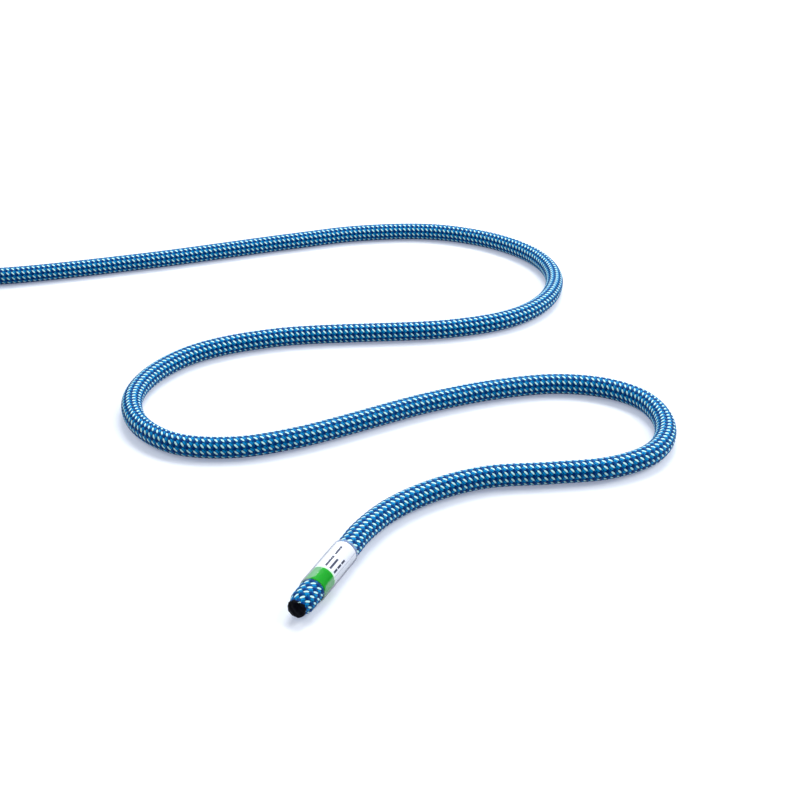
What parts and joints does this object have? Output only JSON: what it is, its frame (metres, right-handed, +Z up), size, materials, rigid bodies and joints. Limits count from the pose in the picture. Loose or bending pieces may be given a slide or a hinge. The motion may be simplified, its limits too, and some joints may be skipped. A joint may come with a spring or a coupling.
{
  "type": "climbing rope",
  "caption": "Blue and white kernmantle climbing rope, a loose labelled end in S curves and the rest in a tied round coil.",
  "frame": {"origin": "under the middle of the whole rope, on the surface that it lies on", "axes": "+X from the coil towards the loose run, +Z up from the surface"},
  "size_m": [0.8196, 0.4494, 0.0456],
  "materials": {
    "rope_sheath": "braided nylon sheath, blue with white stitches",
    "core_yarn": "undyed nylon core strands",
    "melted_nylon": "melted, blackened rope end",
    "label_paper": "white printed wrap with a green band",
    "clear_film": "clear shrink film",
    "tie_webbing": "black woven hook-and-loop strap"
  },
  "bodies": {
    "root": {"sheath_free_run": "rope_sheath", "core_strand_1": "core_yarn", "core_strand_2": "core_yarn", "core_strand_3": "core_yarn", "core_strand_4": "core_yarn", "core_strand_5": "core_yarn", "core_strand_6": "core_yarn", "core_strand_7": "core_yarn", "sealed_end_a": "melted_nylon", "label_a": "label_paper", "clear_sleeve_a": "clear_film", "coil": "rope_sheath", "sealed_end_b": "melted_nylon", "label_b": "label_paper", "clear_sleeve_b": "clear_film", "storage_tie_1": "tie_webbing", "storage_tie_2": "tie_webbing", "storage_tie_3": "tie_webbing", "storage_tie_4": "tie_webbing"}
  },
  "joints": []
}
